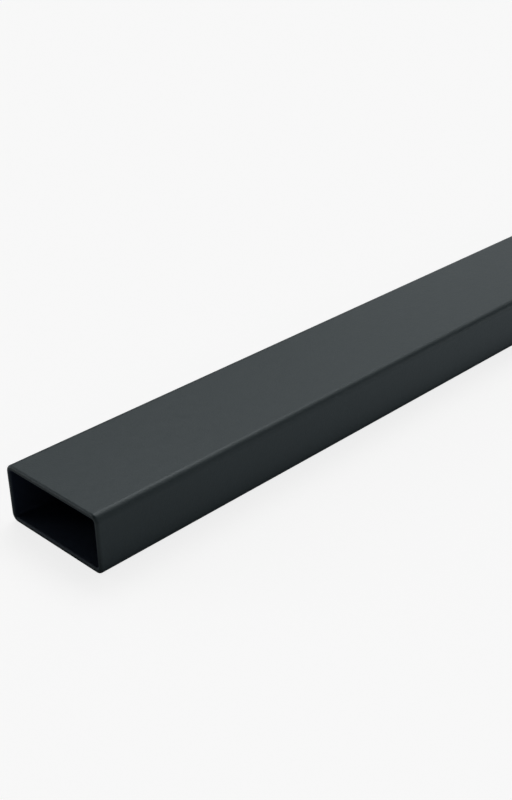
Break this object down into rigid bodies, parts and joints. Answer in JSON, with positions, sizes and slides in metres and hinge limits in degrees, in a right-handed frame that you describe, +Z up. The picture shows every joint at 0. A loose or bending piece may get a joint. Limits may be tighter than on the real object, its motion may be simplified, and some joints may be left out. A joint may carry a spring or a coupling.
{
  "type": "drawer cross rail",
  "caption": "Straight length of thin-walled rectangular tube with rounded corners and open ends, which ties the sides of a drawer together",
  "frame": {"origin": "middle of the underside, halfway along the rail", "axes": "+X along the rail, +Y across its broad side, +Z up through its height"},
  "size_m": [1.1, 0.024, 0.011],
  "materials": {
    "powder_coat": "matt anthracite powder coat with a fine grain"
  },
  "bodies": {
    "root": {"cross_rail": "powder_coat"}
  },
  "joints": []
}
